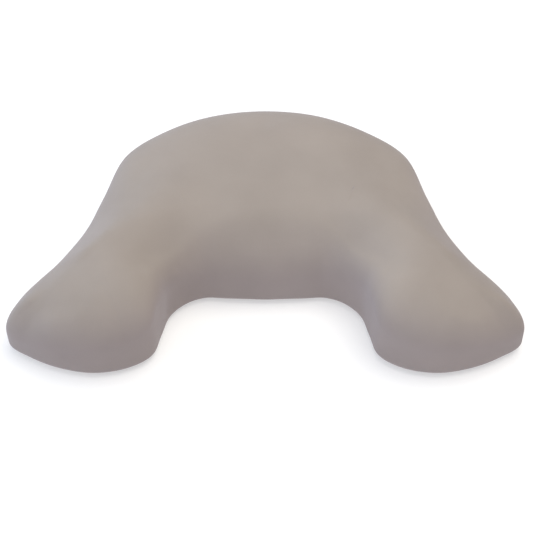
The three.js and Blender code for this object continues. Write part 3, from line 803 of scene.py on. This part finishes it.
class Shader:
    """A Principled material and the nodes that feed it."""

    def __init__(self, name, **constants):
        self.material = bpy.data.materials.new(name)
        self.material.use_nodes = True
        self.tree = self.material.node_tree
        self.principled = self.tree.nodes["Principled BSDF"]
        for key, value in constants.items():
            socket = key.replace("_", " ").title().replace("Ior", "IOR")
            self.principled.inputs[socket].default_value = value

    def node(self, kind, *inputs, **settings):
        """A node with its inputs in order, each a number, a colour, a socket, or None to leave it."""
        made = self.tree.nodes.new(kind)
        for key, value in settings.items():
            setattr(made, key, value)
        for socket, value in zip(made.inputs, inputs):
            if isinstance(value, bpy.types.NodeSocket):
                self.tree.links.new(value, socket)
            elif value is not None:
                socket.default_value = value
        return made

    def math(self, operation, *inputs):
        return self.node("ShaderNodeMath", *inputs, operation=operation).outputs[0]

    def place(self, uv=False):
        """Object coordinates in metres, or the cloth coordinates of the mesh."""
        if uv:
            return self.node("ShaderNodeUVMap", uv_map="cloth").outputs[0]
        return self.node("ShaderNodeTexCoord").outputs["Object"]

    def noise(self, place, size, detail=2.0):
        """Noise of about that grain size, from 0 to 1."""
        made = self.node("ShaderNodeTexNoise")
        self.tree.links.new(place, made.inputs["Vector"])
        made.inputs["Scale"].default_value = 1 / size
        made.inputs["Detail"].default_value = detail
        return made.outputs["Fac"]

    def ramp(self, value, *stops):
        """A colour ramp of (place, colour) stops."""
        made = self.node("ShaderNodeValToRGB", value)
        elements = made.color_ramp.elements
        while len(elements) < len(stops):
            elements.new(0.5)
        for element, (at, colour) in zip(elements, stops):
            element.position = at
            element.color = (*colour, 1)
        return made.outputs["Color"]

    def span(self, value, low, high, to_low, to_high):
        return self.node("ShaderNodeMapRange", value, low, high, to_low, to_high).outputs[0]

    def bump(self, height, distance, strength, below=None):
        """A bump of a height in metres, on top of another bump."""
        made = self.node("ShaderNodeBump")
        made.inputs["Strength"].default_value = strength
        made.inputs["Distance"].default_value = distance
        self.tree.links.new(height, made.inputs["Height"])
        if below is not None:
            self.tree.links.new(below, made.inputs["Normal"])
        return made.outputs["Normal"]

    def feed(self, name, socket):
        self.tree.links.new(socket, self.principled.inputs[name])


def tint(colour, factor):
    return tuple(c * factor for c in colour)


def knit_height(shader, wale, course):
    """Height of a jersey knit: columns of slanted loops in V shapes."""
    split = shader.node("ShaderNodeSeparateXYZ", shader.place(uv=True)).outputs
    u = shader.math("MULTIPLY", split[0], 1 / wale)
    v = shader.math("MULTIPLY", split[1], 1 / course)
    fold = shader.math("ABSOLUTE", shader.math("SUBTRACT", shader.math("FRACT", u), 0.5))
    legs = shader.math("ABSOLUTE", shader.math("SINE", shader.math("MULTIPLY", u, 2 * math.pi)))
    slant = shader.math("MULTIPLY_ADD", fold, 1.1, v)
    swing = shader.math("COSINE", shader.math("MULTIPLY", slant, 2 * math.pi))
    loops = shader.math("MULTIPLY_ADD", swing, 0.3, 0.7)
    return shader.math("MULTIPLY", legs, loops)


KNIT_COLOUR = (0.333, 0.291, 0.258)
# Painted shade: the knit's upright walls take this cooler, mauve colour instead of the top's, standing in
# for the way the light falls on them.
KNIT_WALL_SHADE_COLOUR = (0.332, 0.283, 0.268)
KNIT_SHEEN = (0.84, 0.86, 1.0, 1)
KNIT_WALE, KNIT_COURSE = 0.95 * MM, 0.75 * MM
FIBRE_SIZE, CLOUD_SIZE, SOFT_SIZE = 0.35 * MM, 45 * MM, 6 * MM


def knit_material():
    """Fine brushed jersey: loops, short fuzz, and faint cloudiness where the nap lies differently."""
    shader = Shader("brushed_knit", roughness=0.93, sheen_weight=0.20, sheen_roughness=0.4,
                    specular_ior_level=0.18)
    shader.principled.inputs["Sheen Tint"].default_value = KNIT_SHEEN
    place = shader.place()
    cloud = shader.noise(place, CLOUD_SIZE, detail=3)
    fibre = shader.noise(place, FIBRE_SIZE)
    mixed = shader.math("MULTIPLY_ADD", fibre, 0.35, shader.math("MULTIPLY", cloud, 0.65))
    loops = knit_height(shader, KNIT_WALE, KNIT_COURSE)
    shade = shader.math("MULTIPLY_ADD", loops, 0.16, mixed)
    # Painted shade: the base colour turns from the top's colour to the walls' cooler shade colour as the
    # surface turns from facing up to upright.
    normal = shader.node("ShaderNodeNewGeometry").outputs["Normal"]
    upward = shader.node("ShaderNodeSeparateXYZ", normal).outputs[2]
    colours = [shader.ramp(shade, (0.28, tint(c, 0.90)), (0.52, c), (0.80, tint(c, 1.09)))
               for c in (KNIT_WALL_SHADE_COLOUR, KNIT_COLOUR)]
    painted_wall_shade = shader.node("ShaderNodeMixRGB", shader.span(upward, 0.1, 0.9, 0, 1), *colours)
    shader.feed("Base Color", painted_wall_shade.outputs[0])
    soft = shader.bump(shader.noise(place, SOFT_SIZE), 0.12 * MM, 0.35)
    fuzz = shader.bump(fibre, 0.10 * MM, 0.35, soft)
    shader.feed("Normal", shader.bump(loops, 0.14 * MM, 0.45, fuzz))
    return shader.material


def weave_material(name, colour, pitch, roughness, sheen, depth=0.12 * MM):
    """Plain weave: warp over weft, with small differences from thread to thread."""
    shader = Shader(name, sheen_weight=sheen, sheen_roughness=0.5, specular_ior_level=0.25)
    place = shader.place(uv=True)
    split = shader.node("ShaderNodeSeparateXYZ", place).outputs
    u = shader.math("MULTIPLY", split[0], math.pi / pitch)
    v = shader.math("MULTIPLY", split[1], math.pi / pitch)
    over = shader.math("MULTIPLY", shader.math("SINE", u), shader.math("SINE", v))
    warp = shader.math("ABSOLUTE", shader.math("SINE", shader.math("MULTIPLY", u, 2)))
    height = shader.math("MULTIPLY_ADD", over, 0.5, shader.math("MULTIPLY", warp, 0.5))
    grain = shader.noise(shader.place(), 8 * MM, detail=4)
    shade = shader.math("MULTIPLY_ADD", height, 0.22, grain)
    shader.feed("Base Color", shader.ramp(
        shade, (0.25, tint(colour, 0.86)), (0.55, colour), (0.85, tint(colour, 1.12))))
    shader.feed("Roughness", shader.span(grain, 0.3, 0.7, roughness - 0.06, roughness + 0.05))
    shader.feed("Normal", shader.bump(height, depth, 0.8))
    return shader.material


def foam_material(name, colour, pore):
    """Open-cell polyurethane foam."""
    shader = Shader(name, roughness=0.95, specular_ior_level=0.1, subsurface_weight=0.15)
    place = shader.place()
    cells = shader.node("ShaderNodeTexVoronoi")
    shader.tree.links.new(place, cells.inputs["Vector"])
    cells.inputs["Scale"].default_value = 1 / pore
    pits = cells.outputs["Distance"]
    cloud = shader.noise(place, 30 * MM, detail=3)
    shader.feed("Base Color", shader.ramp(
        shader.math("MULTIPLY_ADD", pits, 0.3, cloud),
        (0.3, tint(colour, 0.86)), (0.6, colour), (0.9, tint(colour, 1.04))))
    shader.feed("Normal", shader.bump(pits, 0.3 * MM, 0.5))
    return shader.material


BASE_COLOUR, LINER_COLOUR = (0.235, 0.205, 0.18), (0.80, 0.78, 0.74)
TAPE_COLOUR, LABEL_COLOUR = (0.30, 0.262, 0.228), (0.62, 0.60, 0.56)
FIRM_COLOUR, SOFT_COLOUR = (0.68, 0.72, 0.75), (0.88, 0.83, 0.70)
NYLON_DARK, NYLON_LIGHT = (0.20, 0.175, 0.155), (0.30, 0.265, 0.235)
METAL_DARK, METAL_LIGHT = (0.24, 0.23, 0.215), (0.34, 0.325, 0.31)


def nylon_material():
    """Satin nylon of the coil."""
    shader = Shader("coil_nylon", coat_weight=0.15, coat_roughness=0.3, specular_ior_level=0.5)
    place = shader.place()
    cloud = shader.noise(place, 5 * MM, detail=3)
    shader.feed("Base Color", shader.ramp(cloud, (0.3, NYLON_DARK), (0.7, NYLON_LIGHT)))
    shader.feed("Roughness", shader.span(cloud, 0.3, 0.7, 0.34, 0.48))
    shader.feed("Normal", shader.bump(shader.noise(place, 0.3 * MM), 0.02 * MM, 0.4))
    return shader.material


def metal_material():
    """Plated die-cast metal with fine tumbling marks."""
    shader = Shader("plated_metal", metallic=1.0)
    place = shader.place()
    cloud = shader.noise(place, 3 * MM, detail=4)
    stretch = shader.node("ShaderNodeMapping", place)
    stretch.inputs["Scale"].default_value = (1, 1, 8)
    marks = shader.noise(stretch.outputs[0], 0.8 * MM, detail=3)
    shader.feed("Base Color", shader.ramp(cloud, (0.3, METAL_DARK), (0.7, METAL_LIGHT)))
    shader.feed("Roughness", shader.span(marks, 0.3, 0.7, 0.24, 0.42))
    shader.feed("Normal", shader.bump(marks, 0.02 * MM, 0.35))
    return shader.material


def thread_material():
    """Two-ply polyester sewing thread."""
    shader = Shader("sewing_thread", roughness=0.7, sheen_weight=0.3, specular_ior_level=0.35)
    place = shader.place()
    twist = shader.node("ShaderNodeTexWave", bands_direction="DIAGONAL")
    shader.tree.links.new(place, twist.inputs["Vector"])
    twist.inputs["Scale"].default_value = 1 / (2.2 * MM)
    twist.inputs["Distortion"].default_value = 1.5
    ply = twist.outputs["Fac"]
    shader.feed("Base Color", shader.ramp(
        ply, (0.0, tint(KNIT_COLOUR, 0.72)), (1.0, tint(KNIT_COLOUR, 1.02))))
    shader.feed("Normal", shader.bump(ply, 0.08 * MM, 0.6))
    return shader.material


FLOOR_GLOW = 0.42
FLOOR_DARK, FLOOR_LIGHT = (0.59, 0.59, 0.59), (0.61, 0.61, 0.61)


def floor_material():
    """Seamless pale paper, with a glow that keeps the contact shadow faint."""
    shader = Shader("studio_floor", roughness=0.9, specular_ior_level=0.1, emission_strength=FLOOR_GLOW)
    shader.principled.inputs["Emission Color"].default_value = (1, 1, 1, 1)
    place = shader.place()
    cloud = shader.noise(place, 400 * MM, detail=2)
    shader.feed("Base Color", shader.ramp(cloud, (0.2, FLOOR_DARK), (0.8, FLOOR_LIGHT)))
    return shader.material


# ---------- assembly ----------

def wear(obj, material, slot, body, *nodes):
    """Gives a piece its material and its body, and hides the CAD nodes that it stands for. The slot is not
    used.
    """
    obj.data.materials.clear()
    obj.data.materials.append(material)
    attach(obj, body)
    if nodes:
        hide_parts(*nodes)
    return obj


def build_pillow():
    knit = knit_material()
    cover = wear(make_cover(), knit, "cover_knit", PILLOW, "cover_shell")
    wear(make_base(), weave_material("base_weave", BASE_COLOUR, 0.9 * MM, 0.88, 0.1),
         "base_fabric", PILLOW, "base_panel")
    thread = thread_material()
    wear(make_seam(), thread, "seam_thread", PILLOW, "base_seam_thread")
    wear(make_inner("liner_sock", LINER_DEPTH),
         weave_material("liner_jersey", LINER_COLOUR, 0.7 * MM, 0.9, 0.1),
         "liner_cloth", PILLOW, "inner_liner")
    firm = cut_level(make_inner("foam_firm_lower", CORE_DEPTH), CORE_SPLIT_Z[0], keep_above=False)
    soft = cut_level(make_inner("foam_soft_upper", CORE_DEPTH), CORE_SPLIT_Z[1], keep_above=True)
    wear(firm, foam_material("foam_firm", FIRM_COLOUR, 1.6 * MM), "firm_foam", PILLOW, "core_firm_base")
    wear(soft, foam_material("foam_slow", SOFT_COLOUR, 0.9 * MM), "soft_foam", PILLOW, "core_soft_top")
    wear(make_label(), weave_material("label_satin", LABEL_COLOUR, 0.28 * MM, 0.45, 0.3, 0.04 * MM),
         "label_satin", PILLOW, "care_label")
    return cover, knit, thread


STOP_BEVEL, TAB_BEVEL, SLIDER_BEVEL, PULL_BEVEL = 0.22 * MM, 0.4 * MM, 0.18 * MM, 0.2 * MM


def build_zip(cover, knit, thread):
    weave = weave_material("tape_weave", TAPE_COLOUR, 0.45 * MM, 0.8, 0.15, 0.08 * MM)
    nylon = nylon_material()
    metal = metal_material()
    for side, sign in (("upper", 1), ("lower", -1)):
        wear(make_tape(side, sign), weave, "zip_tape", PILLOW, f"zip_tape_{side}")
        wear(make_coil(side, sign), nylon, "zip_teeth", PILLOW, f"zip_teeth_{side}")
        stop = f"zip_top_stop_{side}"
        wear(refined(stop, f"{stop}_crimped", STOP_BEVEL), metal, "zip_metal", PILLOW, stop)
    wear(refined("zip_bottom_stop", "zip_bottom_stop_crimped", STOP_BEVEL), metal, "zip_metal", PILLOW,
         "zip_bottom_stop")
    for side in ("left", "right"):
        node = f"zip_end_tab_{side}"
        wear(refined(node, f"{node}_folded", TAB_BEVEL), knit, "cover_knit", PILLOW, node)
    wear(make_topstitch(cover), thread, "seam_thread", PILLOW)
    wear(refined("zip_slider", "zip_slider_body", SLIDER_BEVEL), metal, "zip_metal", SLIDER, "zip_slider")
    wear(refined("zip_pull", "zip_pull_tab", PULL_BEVEL), metal, "zip_metal", PULL, "zip_pull")


# ---------- studio ----------

def area_light(name, place, aim, size, power, colour):
    light = bpy.data.lights.new(name, "AREA")
    light.shape = "DISK"
    light.size = size
    light.energy = power
    light.color = colour
    obj = bpy.data.objects.new(name, light)
    obj.location = place
    obj.rotation_euler = (Vector(aim) - Vector(place)).to_track_quat("-Z", "Y").to_euler()
    bpy.context.scene.collection.objects.link(obj)


LEFT_WALL = (1.12, 1.22, 1.44)
RIGHT_WALL = (0.31, 0.27, 0.255)
WORLD_STRENGTH = 0.80
FLOOR_HALF_SIDE, FLOOR_DROP = 6.0, 0.05 * MM
# Lamps: name, place, point aimed at, width, watts, colour.
LAMPS = (
    ("overhead", (0.42, 0.1, 1.85), (0, 0, 0), 1.6, 26.5, (1.0, 0.955, 0.85)),
    ("left_fill", (-1.5, 0.3, 0.35), (-0.1, 0, 0.03), 1.0, 6, (0.62, 0.82, 1.0)),
)


def build_studio():
    side = FLOOR_HALF_SIDE
    corners = [(-side, -side, 0), (side, -side, 0), (side, side, 0), (-side, side, 0)]
    floor = mesh_object("studio_floor", corners, [(0, 1, 2, 3)], smooth=False)
    floor.location.z = -FLOOR_DROP
    floor.data.materials.append(floor_material())
    world = bpy.data.worlds.new("studio")
    world.use_nodes = True
    nodes, links = world.node_tree.nodes, world.node_tree.links
    direction = nodes.new("ShaderNodeSeparateXYZ")
    links.new(nodes.new("ShaderNodeTexCoord").outputs["Generated"], direction.inputs[0])
    across = nodes.new("ShaderNodeMapRange")
    across.inputs["From Min"].default_value = -1
    links.new(direction.outputs["X"], across.inputs["Value"])
    walls = nodes.new("ShaderNodeValToRGB")
    for element, colour in zip(walls.color_ramp.elements, (LEFT_WALL, RIGHT_WALL)):
        element.color = (*colour, 1)
    links.new(across.outputs[0], walls.inputs[0])
    links.new(walls.outputs[0], nodes["Background"].inputs["Color"])
    nodes["Background"].inputs["Strength"].default_value = WORLD_STRENGTH
    bpy.context.scene.world = world
    for lamp in LAMPS:
        area_light(*lamp)
    bpy.context.scene.view_settings.view_transform = "Standard"


CAMERA_ELEVATION = math.radians(52)
CAMERA_DISTANCE = 0.9795
CAMERA_TARGET = Vector((0.0007, -0.0065, 0))
CAMERA_LENS, CAMERA_SENSOR = 100, 36


def build_camera():
    """Looks along +Y and down, at the distance that gives the photograph's perspective."""
    elevation = CAMERA_ELEVATION
    lens = bpy.data.cameras.new("camera")
    lens.lens = CAMERA_LENS
    lens.sensor_width = CAMERA_SENSOR
    camera = bpy.data.objects.new("camera", lens)
    away = Vector((0, -math.cos(elevation), math.sin(elevation)))
    camera.location = CAMERA_TARGET + CAMERA_DISTANCE * away
    camera.rotation_euler = (math.pi / 2 - elevation, 0, 0)
    bpy.context.scene.collection.objects.link(camera)
    bpy.context.scene.camera = camera


build_zip(*build_pillow())
build_studio()
build_camera()
